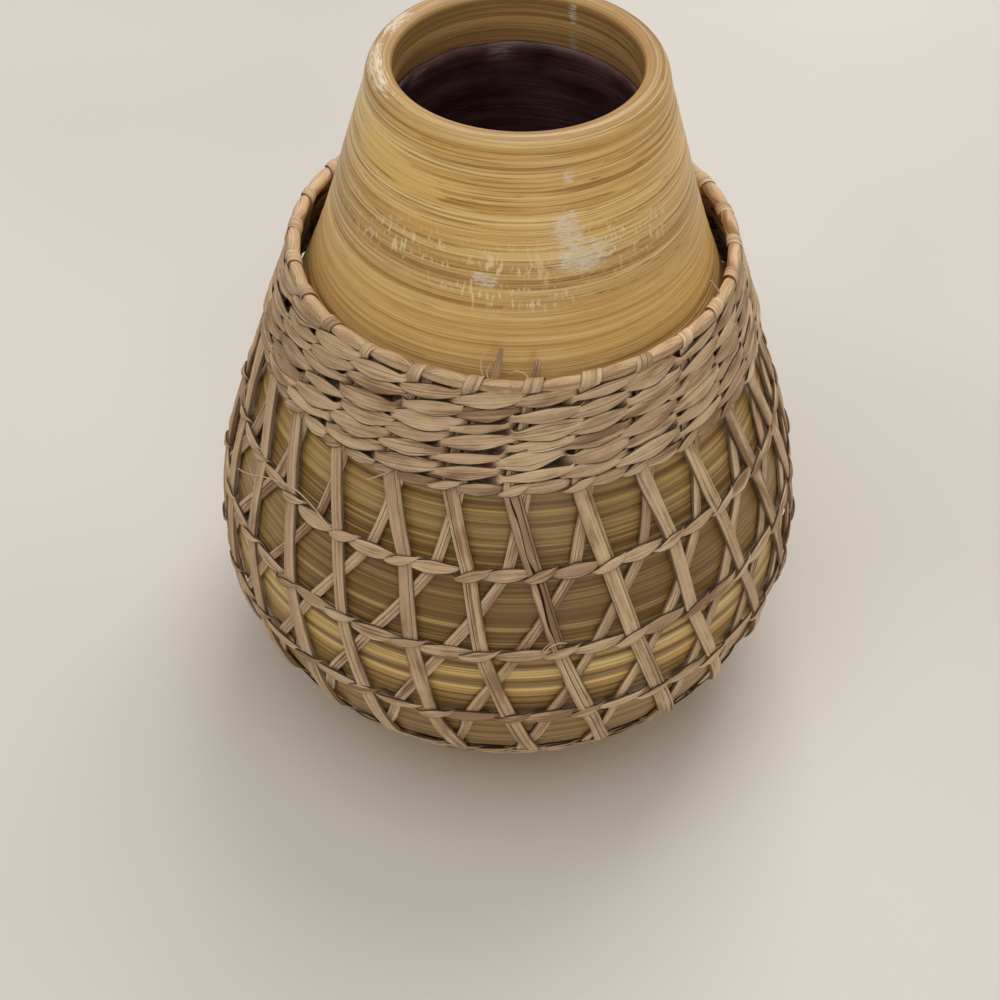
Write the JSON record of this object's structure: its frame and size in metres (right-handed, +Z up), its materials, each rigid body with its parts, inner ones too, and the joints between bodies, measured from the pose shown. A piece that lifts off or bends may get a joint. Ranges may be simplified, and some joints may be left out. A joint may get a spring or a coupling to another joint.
{
  "type": "vase",
  "caption": "Pear-shaped vase of coiled bamboo strip with a rounded lip and dark lacquered inside, wearing a sleeve of dried leaf twined round its belly; holds stems.",
  "frame": {"origin": "on the table, under the middle of the foot", "axes": "+Z up along the vase's axis, -Y towards the front of the picture, +X to its right"},
  "size_m": [0.1575, 0.1576, 0.1845],
  "materials": {
    "bamboo": "satin",
    "lacquer": "gloss",
    "leaf": "matte",
    "reed": "matte"
  },
  "bodies": {
    "root": {"wall_coil": "bamboo", "base_disc": "bamboo", "rim_coil": "bamboo", "lacquer_lining": "lacquer", "top_hoop": "reed", "leaf_ribbon_01": "leaf", "leaf_ribbon_02": "leaf", "leaf_ribbon_03": "leaf", "leaf_ribbon_04": "leaf", "leaf_ribbon_05": "leaf", "leaf_ribbon_06": "leaf", "leaf_ribbon_07": "leaf", "leaf_ribbon_08": "leaf", "leaf_ribbon_09": "leaf", "leaf_ribbon_10": "leaf", "leaf_ribbon_11": "leaf", "leaf_ribbon_12": "leaf", "leaf_ribbon_13": "leaf", "leaf_ribbon_14": "leaf", "leaf_ribbon_15": "leaf", "leaf_ribbon_16": "leaf", "leaf_ribbon_17": "leaf", "leaf_ribbon_18": "leaf", "leaf_ribbon_19": "leaf", "leaf_ribbon_20": "leaf", "leaf_ribbon_21": "leaf", "leaf_ribbon_22": "leaf", "leaf_ribbon_23": "leaf", "leaf_ribbon_24": "leaf", "leaf_ribbon_25": "leaf", "leaf_ribbon_26": "leaf", "band_row_1_strand_a": "leaf", "band_row_1_strand_b": "leaf", "band_row_2_strand_a": "leaf", "band_row_2_strand_b": "leaf", "band_row_3_strand_a": "leaf", "band_row_3_strand_b": "leaf", "band_row_4_strand_a": "leaf", "band_row_4_strand_b": "leaf", "band_row_5_strand_a": "leaf", "band_row_5_strand_b": "leaf", "band_row_6_strand_a": "leaf", "band_row_6_strand_b": "leaf", "band_row_7_strand_a": "leaf", "band_row_7_strand_b": "leaf", "open_row_1_strand_a": "leaf", "open_row_1_strand_b": "leaf", "open_row_2_strand_a": "leaf", "open_row_2_strand_b": "leaf", "open_row_3_strand_a": "leaf", "open_row_3_strand_b": "leaf", "lower_border_row_1_strand_a": "leaf", "lower_border_row_1_strand_b": "leaf", "lower_border_row_2_strand_a": "leaf", "lower_border_row_2_strand_b": "leaf"}
  },
  "joints": []
}
